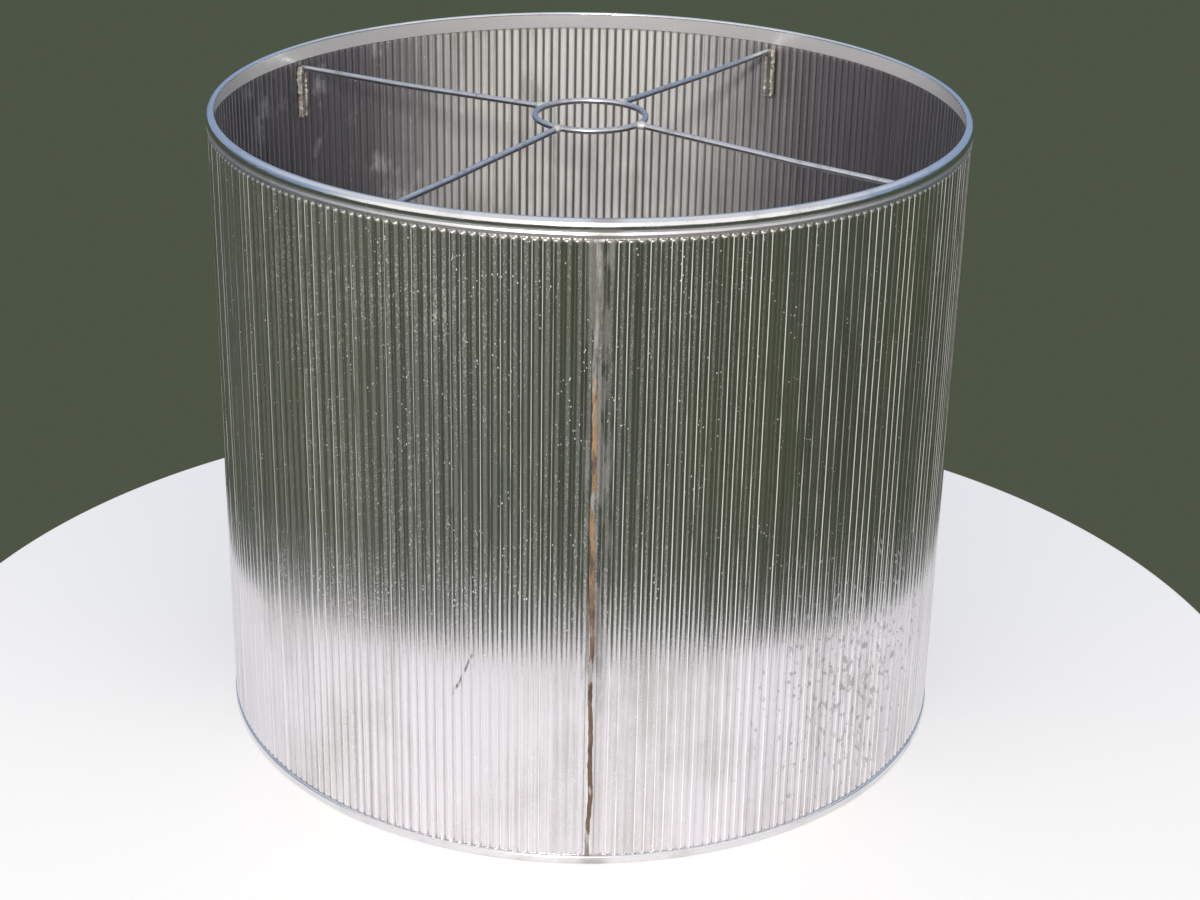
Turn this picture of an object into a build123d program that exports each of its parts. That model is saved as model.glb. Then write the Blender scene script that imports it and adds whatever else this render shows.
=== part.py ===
"""Fluted drum lampshade: a pressed sheet-metal drum between two rolled hoops, with a soldered wire spider.

Units are millimetres and +Z is up. The origin is the middle of the foot, on the surface that the drum
stands on, and the lap seam of the drum lies on the -Y side.
"""

from build123d import *
from math import atan, copysign, cos, degrees, pi, radians, sin, tan
import os

# Drum wall
drum_diameter = 305.0          # over the flutes and the shoulders that close them
drum_height = 261.0            # foot to the crest of the top hoop
sheet_thickness = 0.4
flute_count = 258              # pitches round the drum, one of them taken by the seam's land
flute_depth = 0.8              # crest to valley, on either face
flute_crest_share = 0.62       # part of a pitch that the rounded crest takes
flute_hoop_gap = 0.1           # bottom hoop up to the lower end of the flutes
flute_collar_gap = 0.5         # upper end of the flutes up to the collar of the top hoop
shoulder_thickness = 0.5       # end wall where the flutes die into the plain margin
shoulder_lip = 0.03            # how far a shoulder stands past the flutes that it closes, on either face
margin_depth = 0.7             # crest of the flutes down to the plain margins
seam_angle = -90.0
seam_land_width = 4.0          # plain strip where the two ends of the sheet lap
seam_land_depth = 0.4          # crest of the flutes down to the land

# Hoops, each rolled from strip over a core wire
strip_thickness = 0.4
bend_flats = 3                 # short flats that make up each rolled corner of the strip
hoop_clearance = 0.1           # between a hoop and the sheet that it grips
core_diameter = 1.7
core_clearance = 0.1           # between a core wire and the foot below it or the margin's edge
top_core_play = 0.4            # between the top core and the outer wall of its bead
top_bead_reach = 0.3           # how far the top bead stands out past the flutes
top_bead_play = 1.1            # room across the top bead beside its core
top_bead_depth = 1.9           # room from the top bead's crest to the groove beside its core
top_bead_corner = 2.0
top_bead_curl = 0.9
groove_rise = 0.8              # height over which the bead turns in to the groove
groove_corner = 0.35
collar_bulge = 0.35
collar_height = 2.2            # groove down to the foot of the collar
collar_corner = 0.5
inner_corner = 0.8
inner_band_overlap = 0.6       # how far the top hoop's inner band ends below its collar
foot_bead_reach = 0.5          # how far the bottom bead stands out past the flutes
foot_bead_play = 0.9           # room across the bottom bead beside its core
foot_bead_headroom = 0.4       # room over and under the bottom bead's core
foot_bead_corner = 0.8
foot_lip_corner = 0.4
foot_lip_reach = 0.6           # how far the bead's lip turns in under the flutes
inner_band_rise = 6.5          # foot up to the upper edge of the bottom hoop's inner band

# Wire spider
wire_diameter = 2.5
ring_bore = 42.0               # seat of the lampholder
ring_drop = 6.5                # crest of the top hoop down to the ring's centre line
arm_count = 4
first_arm_angle = 55.8
arm_mid_radius = 95.0          # where an arm stops falling and runs out almost level
arm_mid_drop = 9.2
arm_mid_bend = 400.0
arm_end_drop = 10.2
leg_bend = 3.0
leg_drop = 31.0                # crest of the top hoop down to the tip of a leg
leg_clearance = 0.15           # between a leg and the flutes behind it
ring_clearance = 0.1           # between an arm's end and the ring

# Solder and braze
solder_clearance = 0.02        # under a run of solder, where it would wet the metal
seam_solder_width = 3.0
seam_solder_height = 0.45
rim_solder_start = 2.0         # degrees from the seam to the near end of the run under the collar
rim_solder_span = 5.0          # degrees that the run covers
rim_solder_reach = 0.3         # how far the run stands out past the flutes
rim_solder_gap = 0.1           # between the run and the foot of the collar
leg_solder_side = 1.15         # thickness at either side of a leg
leg_solder_cover = 0.5         # thickness over the front of a leg
leg_solder_drop = 7.6          # crest of the top hoop down to the upper end of the solder
leg_solder_tail = 1.0          # solder below the tip of a leg
leg_solder_corner = 0.9
leg_solder_clearance = 0.05    # between the solder's back and the flutes
braze_thickness = 0.85
braze_length = 5.0
braze_inset = 0.6              # how far a braze reaches in past the ring's centre line

# Sizes that follow from those above
shoulder_outer_radius = drum_diameter / 2
crest_radius = shoulder_outer_radius - shoulder_lip
valley_radius = crest_radius - flute_depth
shoulder_inner_radius = valley_radius - sheet_thickness - shoulder_lip
margin_outer_radius = crest_radius - margin_depth
margin_inner_radius = margin_outer_radius - sheet_thickness
seam_land_radius = crest_radius - seam_land_depth
half_strip = strip_thickness / 2
top_bead_width = core_diameter + 2 * strip_thickness + top_bead_play
top_bead_drop = core_diameter + 2 * strip_thickness + top_bead_depth
collar_drop = top_bead_drop + collar_height
inner_band_drop = collar_drop + inner_band_overlap
foot_bead_width = core_diameter + 2 * strip_thickness + foot_bead_play
foot_bead_height = core_diameter + 2 * strip_thickness + foot_bead_headroom
flute_bottom = foot_bead_height + flute_hoop_gap
flute_top = drum_height - collar_drop - flute_collar_gap
collar_radius = margin_outer_radius + hoop_clearance + half_strip
band_radius = shoulder_inner_radius - hoop_clearance - half_strip
top_bead_outer = crest_radius + top_bead_reach - half_strip
top_bead_inner = crest_radius + top_bead_reach - top_bead_width + half_strip
foot_bead_outer = crest_radius + foot_bead_reach - half_strip
foot_bead_inner = crest_radius + foot_bead_reach - foot_bead_width + half_strip
core_radius = core_diameter / 2
top_core_height = drum_height - top_bead_drop / 2
foot_core_height = strip_thickness + core_clearance + core_radius
margin_top = top_core_height - core_radius - core_clearance
margin_bottom = foot_core_height + core_radius + core_clearance
wire_radius = wire_diameter / 2
ring_radius = ring_bore / 2 + wire_radius
ring_height = drum_height - ring_drop
leg_radius = shoulder_inner_radius - leg_clearance - wire_radius
leg_solder_width = wire_diameter + 2 * leg_solder_side
braze_radius = wire_radius + braze_thickness


def polar(radius, angle):
    """Point at a radius and an angle in degrees about the drum's axis."""
    return (radius * cos(radians(angle)), radius * sin(radians(angle)))


def flute_outline(inset):
    """Edges of the closed wavy outline, inset from the flutes' outer face, with the seam's land."""
    pitch_angle = 360 / flute_count
    flank = 2 * atan(flute_depth / (pi * crest_radius / flute_count))
    half_crest = flute_crest_share * pitch_angle / 2
    half_land = degrees(seam_land_width / 2 / crest_radius)
    flank_radius = crest_radius - flute_crest_share * flute_depth - inset * cos(flank)
    flank_turn = degrees(inset * sin(flank) / crest_radius)
    land_radius = seam_land_radius - 2 * inset
    land_start = polar(land_radius, seam_angle - half_land)
    land_end = polar(land_radius, seam_angle + half_land)
    edges = [ThreePointArc(land_start, polar(land_radius, seam_angle), land_end)]
    corner = land_end
    for number in range(1, flute_count):
        middle = seam_angle + number * pitch_angle
        rising = polar(flank_radius, middle - half_crest + flank_turn)
        falling = polar(flank_radius, middle + half_crest - flank_turn)
        if number == 1:
            edges.append(Line(corner, rising))
        else:
            valley = polar(valley_radius - inset, middle - pitch_angle / 2)
            edges.append(ThreePointArc(corner, valley, rising))
        edges.append(ThreePointArc(rising, polar(crest_radius - inset, middle), falling))
        corner = falling
    edges.append(Line(corner, land_start))
    return edges


def folded(points, radii):
    """A strip's centre line, with each corner rounded by a few short flats."""
    line = [points[0]]
    for before, corner, after, radius in zip(points, points[1:], points[2:], radii):
        way_in = (Vector(*corner) - Vector(*before)).normalized()
        way_out = (Vector(*after) - Vector(*corner)).normalized()
        turn = way_in.get_signed_angle(way_out, Vector(0, 0, 1))
        start = Vector(*corner) - way_in * (radius * tan(radians(abs(turn)) / 2))
        arm = way_in.rotate(Axis.Z, copysign(90, -turn)) * radius
        for flat in range(bend_flats + 1):
            line.append(start - arm + arm.rotate(Axis.Z, turn * flat / bend_flats))
    return [*line, points[-1]]


def export(part, label):
    """Label a finished piece and write it under that name."""
    part.label = label
    export_step(part, f"parts/{label}.step")


os.makedirs("parts", exist_ok=True)

# The wall: fluted sheet, then a ring at each end that closes the flutes and carries on as a plain margin
with BuildPart() as fluted_wall:
    with BuildSketch(Plane.XY.offset(flute_bottom + shoulder_thickness)):
        make_face(flute_outline(0))
        make_face(flute_outline(sheet_thickness), mode=Mode.SUBTRACT)
    extrude(amount=flute_top - flute_bottom - 2 * shoulder_thickness)
    for flute_end, inwards, margin_end in ((flute_bottom, 1, margin_bottom), (flute_top, -1, margin_top)):
        with BuildSketch(Plane.XZ):
            with BuildLine():
                Polyline(
                    (margin_outer_radius, margin_end),
                    (margin_inner_radius, margin_end),
                    (margin_inner_radius, flute_end),
                    (shoulder_inner_radius, flute_end),
                    (shoulder_inner_radius, flute_end + inwards * shoulder_thickness),
                    (shoulder_outer_radius, flute_end + inwards * shoulder_thickness),
                    (shoulder_outer_radius, flute_end),
                    (margin_outer_radius, flute_end),
                    close=True,
                )
            make_face()
        revolve(axis=Axis.Z)
export(fluted_wall.part, "fluted_wall")

# Top hoop: inner band, bead over its core wire, groove, and a collar pressed on the wall's margin
top_hoop_line = [
    (band_radius, drum_height - inner_band_drop),
    (top_bead_inner, drum_height - half_strip),
    (top_bead_outer, drum_height - half_strip),
    (top_bead_outer, drum_height - top_bead_drop + groove_rise),
    (collar_radius, drum_height - top_bead_drop),
    (collar_radius + collar_bulge, drum_height - (top_bead_drop + collar_drop) / 2),
    (collar_radius, drum_height - collar_drop),
]
top_hoop_radii = [inner_corner, top_bead_corner, top_bead_curl, groove_corner, collar_corner]
with BuildPart() as top_hoop:
    with BuildSketch(Plane.XZ):
        with BuildLine():
            Polyline(*folded(top_hoop_line, top_hoop_radii))
        trace(line_width=strip_thickness)
    revolve(axis=Axis.Z)
export(top_hoop.part, "top_hoop")

# Bottom hoop: inner band, flat foot, bead round the outside, and a lip turned in under the flutes
bottom_hoop_line = [
    (band_radius, inner_band_rise),
    (foot_bead_inner, half_strip),
    (foot_bead_outer, half_strip),
    (foot_bead_outer, foot_bead_height - half_strip),
    (foot_bead_outer - foot_lip_reach, foot_bead_height - half_strip),
]
bottom_hoop_radii = [foot_bead_corner, foot_bead_corner, foot_lip_corner]
with BuildPart() as bottom_hoop:
    with BuildSketch(Plane.XZ):
        with BuildLine():
            Polyline(*folded(bottom_hoop_line, bottom_hoop_radii))
        trace(line_width=strip_thickness)
    revolve(axis=Axis.Z)
export(bottom_hoop.part, "bottom_hoop")

# Core wires that the two hoops are rolled over
top_core_radius = top_bead_outer - half_strip - top_core_play - core_radius
with BuildPart() as top_hoop_wire:
    with BuildSketch(Plane.XZ):
        with Locations((top_core_radius, top_core_height)):
            Circle(core_radius)
    revolve(axis=Axis.Z)
export(top_hoop_wire.part, "top_hoop_wire")

foot_core_radius = (foot_bead_inner + foot_bead_outer) / 2
with BuildPart() as bottom_hoop_wire:
    with BuildSketch(Plane.XZ):
        with Locations((foot_core_radius, foot_core_height)):
            Circle(core_radius)
    revolve(axis=Axis.Z)
export(bottom_hoop_wire.part, "bottom_hoop_wire")

# Solder along the lap seam, on the land between the first flute and the last
seam_solder_arc = degrees(seam_solder_width / crest_radius)
seam_solder_base = flute_bottom + shoulder_thickness + solder_clearance
seam_solder_length = flute_top - shoulder_thickness - solder_clearance - seam_solder_base
with BuildPart() as seam_solder:
    with BuildSketch(Plane.XZ.rotated((0, 0, seam_angle - seam_solder_arc / 2))):
        with Locations((seam_land_radius + solder_clearance, seam_solder_base)):
            Rectangle(seam_solder_height, seam_solder_length, align=(Align.MIN, Align.MIN))
    revolve(axis=Axis.Z, revolution_arc=seam_solder_arc)
export(seam_solder.part, "seam_solder")

# Run of solder under the collar, beside the seam
rim_solder_base = flute_top + solder_clearance
rim_solder_height = drum_height - collar_drop - rim_solder_gap - rim_solder_base
rim_solder_inner = margin_outer_radius + solder_clearance
with BuildPart() as rim_solder:
    with BuildSketch(Plane.XZ.rotated((0, 0, seam_angle + rim_solder_start))):
        with Locations((rim_solder_inner, rim_solder_base)):
            Rectangle(
                crest_radius + rim_solder_reach - rim_solder_inner,
                rim_solder_height,
                align=(Align.MIN, Align.MIN),
            )
    revolve(axis=Axis.Z, revolution_arc=rim_solder_span)
export(rim_solder.part, "rim_solder")

# Lampholder ring in the middle of the spider
with BuildPart() as spider_ring:
    with BuildSketch(Plane.XZ):
        with Locations((ring_radius, ring_height)):
            Circle(wire_radius)
    revolve(axis=Axis.Z)
export(spider_ring.part, "spider_ring")

# Four arms, each with a leg down the inside of the wall, its braze at the ring and its solder at the wall
arm_start = ring_radius + wire_radius + ring_clearance
braze_start = ring_radius - braze_inset
solder_front = leg_radius - wire_radius - leg_solder_cover
solder_back = shoulder_inner_radius - leg_solder_clearance
solder_bottom = drum_height - leg_drop - leg_solder_tail
solder_top = drum_height - leg_solder_drop
for number in range(arm_count):
    arm_plane = Plane.XZ.rotated((0, 0, first_arm_angle + number * 360 / arm_count))
    with BuildPart() as spider_arm:
        with BuildLine(arm_plane) as arm_path:
            FilletPolyline(
                (arm_start, ring_height),
                (arm_mid_radius, drum_height - arm_mid_drop),
                (leg_radius, drum_height - arm_end_drop),
                (leg_radius, drum_height - leg_drop),
                radius=[arm_mid_bend, leg_bend],
            )
        with BuildSketch(Plane(origin=arm_path.line @ 0, z_dir=arm_path.line % 0)):
            Circle(wire_radius)
        sweep()
    export(spider_arm.part, f"spider_arm_{number + 1}")

    with BuildPart() as ring_braze:
        with BuildSketch(arm_plane):
            with BuildLine():
                Line((braze_start, ring_height), (braze_start + braze_length, ring_height))
                ThreePointArc(
                    (braze_start, ring_height),
                    (braze_start + braze_length / 2, ring_height + braze_radius),
                    (braze_start + braze_length, ring_height),
                )
            make_face()
        revolve(axis=Axis(arm_plane.from_local_coords(Vector(0, ring_height, 0)), arm_plane.x_dir))
        add(spider_ring.part, mode=Mode.SUBTRACT)
        add(spider_arm.part, mode=Mode.SUBTRACT)
    export(ring_braze.part, f"ring_braze_{number + 1}")

    with BuildPart() as leg_solder:
        with BuildSketch(arm_plane):
            with Locations((solder_front, solder_bottom)):
                Rectangle(
                    solder_back - solder_front,
                    solder_top - solder_bottom,
                    align=(Align.MIN, Align.MIN),
                )
        extrude(amount=leg_solder_width / 2, both=True)
        front_face = leg_solder.faces().sort_by(Axis((0, 0, 0), arm_plane.x_dir))[0]
        fillet(front_face.edges(), radius=leg_solder_corner)
        add(spider_arm.part, mode=Mode.SUBTRACT)
    export(leg_solder.part, f"leg_solder_{number + 1}")
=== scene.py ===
"""Looks of a fluted tinplate drum shade: its wall, two rolled rims, wire spider and solder.

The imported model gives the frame, in metres with +Z up. The drum stands on the middle of its foot and its lap
seam lies on the -Y side. Each sub-assembly below is a class that builds its pieces and dresses them.
"""

import logging
import math
from dataclasses import dataclass
from enum import Enum
from typing import Callable, Sequence, Union

import bpy
from mathutils import Matrix, Vector

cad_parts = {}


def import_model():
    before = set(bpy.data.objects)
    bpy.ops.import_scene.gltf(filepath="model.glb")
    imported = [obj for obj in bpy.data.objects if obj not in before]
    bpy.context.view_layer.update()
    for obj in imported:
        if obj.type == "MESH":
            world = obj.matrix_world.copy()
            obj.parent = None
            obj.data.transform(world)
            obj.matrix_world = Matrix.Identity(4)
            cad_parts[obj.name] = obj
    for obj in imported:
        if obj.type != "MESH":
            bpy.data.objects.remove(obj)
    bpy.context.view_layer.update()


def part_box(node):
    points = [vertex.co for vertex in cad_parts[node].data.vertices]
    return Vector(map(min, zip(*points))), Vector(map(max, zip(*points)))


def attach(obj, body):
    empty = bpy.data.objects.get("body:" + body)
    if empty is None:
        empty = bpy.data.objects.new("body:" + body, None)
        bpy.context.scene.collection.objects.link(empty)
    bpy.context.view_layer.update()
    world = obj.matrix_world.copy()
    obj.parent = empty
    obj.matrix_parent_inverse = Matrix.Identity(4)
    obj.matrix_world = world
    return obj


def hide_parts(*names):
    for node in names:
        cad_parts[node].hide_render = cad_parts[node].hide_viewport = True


log = logging.getLogger("drum_shade")

MM = 0.001
BODY = "root"

Number = Union["Signal", float]
Colour = tuple[float, float, float]


# --------------------------------------------------------------------------------------------- shader graph


class Signal:
    """A varying number, vector or colour in a material, with ordinary arithmetic on numbers."""

    def __init__(self, graph: "Graph", socket: bpy.types.NodeSocket | None) -> None:
        """Remember the graph and the socket that carries the value.

        Args:
            graph: the node graph that the value belongs to.
            socket: the output socket that gives it, or None after a node that ends the graph.
        """
        self.graph = graph
        self.socket = socket

    def __add__(self, other: Number) -> "Signal":
        """Sum."""
        return self.graph.math("ADD", self, other)

    def __radd__(self, other: Number) -> "Signal":
        """Sum, reflected."""
        return self.graph.math("ADD", other, self)

    def __sub__(self, other: Number) -> "Signal":
        """Difference."""
        return self.graph.math("SUBTRACT", self, other)

    def __rsub__(self, other: Number) -> "Signal":
        """Difference, reflected."""
        return self.graph.math("SUBTRACT", other, self)

    def __mul__(self, other: Number) -> "Signal":
        """Product."""
        return self.graph.math("MULTIPLY", self, other)

    def __rmul__(self, other: Number) -> "Signal":
        """Product, reflected."""
        return self.graph.math("MULTIPLY", other, self)

    def __pow__(self, other: Number) -> "Signal":
        """Power."""
        return self.graph.math("POWER", self, other)

    def __abs__(self) -> "Signal":
        """Absolute value."""
        return self.graph.math("ABSOLUTE", self)

    def ramp(self, low: float, high: float) -> "Signal":
        """Smooth step from 0 at low to 1 at high, which may be the smaller of the two.

        Args:
            low: value that gives 0.
            high: value that gives 1.

        Returns:
            The stepped value.
        """
        if low > high:
            return 1.0 - self.ramp(high, low)
        return self.graph.node(
            "ShaderNodeMapRange",
            {"interpolation_type": "SMOOTHSTEP"},
            {"Value": self, "From Min": low, "From Max": high},
        )


class Graph:
    """The node graph of one material."""

    def __init__(self, tree: bpy.types.NodeTree) -> None:
        """Start from an empty graph.

        Args:
            tree: the node tree that is filled.
        """
        self.tree = tree
        self.tree.nodes.clear()

    def node(
        self,
        kind: str,
        settings: dict[str, object] | None = None,
        inputs: dict[str | int, object] | None = None,
        output: str | int = 0,
    ) -> Signal:
        """Add a node.

        Args:
            kind: the node's type.
            settings: its properties by name.
            inputs: its inputs by name or place, each a Signal or a constant.
            output: the output wanted.

        Returns:
            The wanted output.
        """
        made = self.tree.nodes.new(kind)
        for name, value in (settings or {}).items():
            setattr(made, name, value)
        for key, value in (inputs or {}).items():
            if isinstance(value, Signal):
                self.tree.links.new(value.socket, made.inputs[key])
            else:
                made.inputs[key].default_value = value
        return Signal(self, made.outputs[output] if made.outputs else None)

    def math(self, operation: str, *values: Number) -> Signal:
        """Add a Math node.

        Args:
            operation: its operation.
            values: its inputs in order.

        Returns:
            The result.
        """
        return self.node("ShaderNodeMath", {"operation": operation}, dict(enumerate(values)))

    def mix(self, share: Number, first: object, second: object) -> Signal:
        """Mix two colours.

        Args:
            share: how much of the second.
            first: a Signal or an RGB colour.
            second: a Signal or an RGB colour.

        Returns:
            The mixed colour.
        """
        sides = [c if isinstance(c, Signal) else (*c, 1.0) for c in (first, second)]
        return self.node(
            "ShaderNodeMix",
            {"data_type": "RGBA"},
            {0: share, 6: sides[0], 7: sides[1]},
            2,
        )

    def place(self, stretch: Sequence[float] = (1.0, 1.0, 1.0)) -> Signal:
        """Object coordinates, scaled along each axis.

        Args:
            stretch: the scale along each axis.

        Returns:
            The vector.
        """
        where = self.node("ShaderNodeTexCoord", output="Object")
        return self.node("ShaderNodeMapping", inputs={"Vector": where, "Scale": tuple(stretch)})

    def split(self, vector: Signal) -> tuple[Signal, Signal, Signal]:
        """Take a vector apart.

        Args:
            vector: the vector.

        Returns:
            Its three numbers.
        """
        parts = self.tree.nodes.new("ShaderNodeSeparateXYZ")
        self.tree.links.new(vector.socket, parts.inputs[0])
        x, y, z = (Signal(self, parts.outputs[i]) for i in range(3))
        return x, y, z

    def axes(self) -> tuple[Signal, Signal, Signal]:
        """The three object coordinates as separate numbers, in metres."""
        return self.split(self.place())

    def cloud(self, stretch: Sequence[float], scale: float, detail: float, rough: float = 0.55) -> Signal:
        """Fractal noise on stretched object coordinates.

        Args:
            stretch: the scale along each axis.
            scale: features per metre.
            detail: octaves.
            rough: strength of the finer octaves.

        Returns:
            The noise, 0 to 1.
        """
        return self.node(
            "ShaderNodeTexNoise",
            {},
            {"Vector": self.place(stretch), "Scale": scale, "Detail": detail, "Roughness": rough},
        )


# ----------------------------------------------------------------------------------------------- finishes


@dataclass(frozen=True)
class Finish:
    """A finish of this shade: a name and the sockets of its shader that don't vary."""

    name: str
    specular: float = 0.5
    coat: float = 0.0

    def paint(self, graph: Graph) -> dict[str, object]:
        """Give the varying inputs of the shader.

        Args:
            graph: the material's node graph.

        Returns:
            The inputs by name.
        """
        raise NotImplementedError

    def material(self) -> bpy.types.Material:
        """Make the finish's material, or find it if it is already made."""
        ready = bpy.data.materials.get(self.name)
        if ready is not None:
            return ready
        made = bpy.data.materials.new(self.name)
        made.use_nodes = True
        graph = Graph(made.node_tree)
        varying = self.paint(graph)
        shader = graph.node(
            "ShaderNodeBsdfPrincipled",
            {},
            {"Specular IOR Level": self.specular, "Coat Weight": self.coat, **varying},
        )
        graph.node("ShaderNodeOutputMaterial", {}, {"Surface": shader})
        return made


def bump(graph: Graph, height: Signal, depth: float, strength: float = 1.0) -> Signal:
    """Turn a height into a normal.

    Args:
        graph: the material's node graph.
        height: the height, 0 to 1.
        depth: how deep a step of 1 is, in metres.
        strength: share of the effect.

    Returns:
        The normal.
    """
    return graph.node(
        "ShaderNodeBump",
        {},
        {"Height": height, "Distance": depth, "Strength": strength},
        "Normal",
    )


@dataclass(frozen=True)
class FlutedTin(Finish):
    """Aged tinplate of the fluted wall, outside or inside, with painted highlight lines and, inside, painted
    shade.
    """

    tin: Colour = (0.73, 0.71, 0.75)
    upper_tint: Colour = (0.74, 0.72, 0.655)
    grime: Colour = (0.36, 0.345, 0.31)
    worn: Colour = (0.86, 0.85, 0.81)
    corroded: Colour = (0.24, 0.24, 0.245)
    pitches: int = 258
    grime_share: float = 0.5
    wear_and_glint_share: float = 0.85
    bloom_share: float = 0.5
    stain_share: float = 0.0
    painted_side_shade_share: float = 0.0
    pale_middle_share: float = 0.0
    roughness: float = 0.13
    metallic: float = 1.0

    def paint(self, graph: Graph) -> dict[str, object]:
        """Worn lines along the flutes, partly painted highlight, bloom between them, grime, corrosion low on
        one side, smears; inside, painted shade at the sides and in the grooves, and a paler middle.
        """
        x, y, z = graph.axes()
        turns = (graph.math("ARCTAN2", y, x) + math.pi / 2) * (self.pitches / (2 * math.pi)) + 0.5
        across = graph.math("FRACT", turns) - 0.5
        flute = graph.node(
            "ShaderNodeTexWhiteNoise",
            {"noise_dimensions": "1D"},
            {"W": graph.math("FLOOR", turns)},
        )

        streaks = graph.cloud((1.0, 1.0, 0.012), 620.0, 2.0)
        patches = graph.cloud((1.0, 1.0, 0.6), 24.0, 6.0, 0.62)
        fine = graph.cloud((1.0, 1.0, 0.35), 1500.0, 3.0)
        grime = (streaks * 0.55 + patches * 0.75).ramp(0.58, 0.84) * self.grime_share
        # an olive tint in clouds, fading in between 90 and 160 mm up
        olive = graph.cloud((1.0, 1.0, 0.3), 14.0, 3.0).ramp(0.40, 0.62) * z.ramp(0.09, 0.16) * 0.7
        colour = graph.mix(grime, graph.mix(olive, self.tin, self.upper_tint), self.grime)

        wander = graph.cloud((1.0, 1.0, 0.05), 160.0, 2.0) - 0.5
        broken = graph.cloud((1.0, 1.0, 0.04), 700.0, 3.0).ramp(0.30, 0.50)
        # painted highlight, partly wear: a bright line along each flute, shifted round the flute by x to where
        # the key light's glint falls, with fewer lines towards -x
        glint_shift = x.ramp(-0.02, -0.14) * 0.34
        line = abs(across + 0.2 - glint_shift + wander * 0.16).ramp(0.06, 0.02) * (0.3 + broken * 0.7)
        front = abs(x + 0.03).ramp(0.14, 0.03)
        line = line * (0.1 + (flute + x.ramp(-0.14, -0.02) * 0.45).ramp(0.45, 0.95) * 0.9) * self.wear_and_glint_share
        crumbs = graph.cloud((1.0, 1.0, 0.5), 1500.0, 5.0, 0.75)
        valley = abs(across - 0.26 + wander * 0.3).ramp(0.26, 0.08)
        bloom = valley * (0.2 + patches * 0.3 + (crumbs + patches * 0.35).ramp(0.72, 0.84) * 0.7)
        bloom = bloom * (0.12 + front * 0.88) * self.bloom_share

        dots = graph.node(
            "ShaderNodeTexVoronoi",
            {},
            {"Vector": graph.place((1.0, 1.0, 0.6)), "Scale": 640.0},
            "Distance",
        )
        sparse = (graph.cloud((1.0, 1.0, 0.5), 150.0, 4.0) + z * 0.35).ramp(0.54, 0.68)
        specks = dots.ramp(0.19, 0.09) * sparse * (0.4 + front * 0.5)
        # the worn colour covers wear and the painted highlight of the lines
        worn = graph.math("MAXIMUM", graph.math("MAXIMUM", line, bloom), specks)
        colour = graph.mix(worn, colour, self.worn)

        away = ((x - 0.108) ** 2.0 + (y + 0.108) ** 2.0 + ((z - 0.056) * 0.85) ** 2.0) ** 0.5
        islands = graph.cloud((1.0, 1.0, 0.55), 430.0, 4.0, 0.6)
        corrosion = (islands + away.ramp(0.075, 0.01) * 0.12).ramp(0.645, 0.74)
        corrosion = corrosion * away.ramp(0.085, 0.05)
        colour = graph.mix(corrosion * 0.68, colour, self.corroded)
        slant = abs(x + 0.048 - (z - 0.079) * 0.42 + wander * 0.004).ramp(0.0007, 0.0003) * y.ramp(0.0, -0.1)
        gaps = graph.cloud((1.0, 1.0, 0.4), 520.0, 3.0).ramp(0.42, 0.56)
        scratch = slant * abs(z - 0.079).ramp(0.011, 0.008) * gaps
        colour = graph.mix(scratch * 0.8, colour, (0.09, 0.08, 0.075))

        beside = abs(x - 0.001).ramp(0.0065, 0.0015) * y.ramp(0.0, -0.1)
        smear = beside * graph.cloud((1.0, 1.0, 0.2), 260.0, 4.0).ramp(0.44, 0.64) * z.ramp(0.04, 0.12)
        colour = graph.mix(smear * 0.75, colour, (0.12, 0.11, 0.095))

        stain = graph.cloud((1.0, 1.0, 0.8), 60.0, 6.0, 0.68).ramp(0.54, 0.70) * self.stain_share
        stain = stain * x.ramp(0.04, -0.09)
        # painted shade: the wall is darkened towards its left and right sides, set by |x| alone
        colour = graph.mix(abs(x).ramp(0.045, 0.115) * self.painted_side_shade_share, colour, (0.27, 0.26, 0.30))
        colour = graph.mix(stain, colour, (0.66, 0.66, 0.64))
        # painted shade: dark lines down the flute valleys, strongest in the middle; the middle, set by |x|, is
        # paler and less metallic
        shaded_groove = abs(across + wander * 0.2).ramp(0.26, 0.06)
        pale_middle = abs(x).ramp(0.11, 0.02) * (1.0 - patches.ramp(0.5, 0.75) * 0.5) * self.pale_middle_share
        colour = graph.mix(shaded_groove * (pale_middle + self.pale_middle_share * 0.6), colour, (0.13, 0.12, 0.115))
        pale_middle = pale_middle * (1.0 - shaded_groove * 0.5)
        # painted shade: the wall above 252 mm, under the rim, is darkened to the grime colour and made rougher
        shaded_shoulder = z.ramp(0.2521, 0.2534) * 0.7
        colour = graph.mix(shaded_shoulder, colour, self.grime)

        dull = graph.math("MINIMUM", worn * 0.85 + corrosion * 0.5 + smear * 0.5 + stain * 0.5, 1.0)
        rough = self.roughness + patches.ramp(0.4, 0.75) * 0.07 + dull * 0.42 + shaded_shoulder * 0.35
        height = streaks * 0.35 + fine * 0.15 + worn * 0.35 + patches * 0.4
        return {
            "Base Color": colour,
            "Metallic": self.metallic * (1.0 - dull * 0.72) * (1.0 - pale_middle),
            "Roughness": rough,
            "Normal": bump(graph, height, 0.14 * MM, 0.7),
        }


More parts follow.
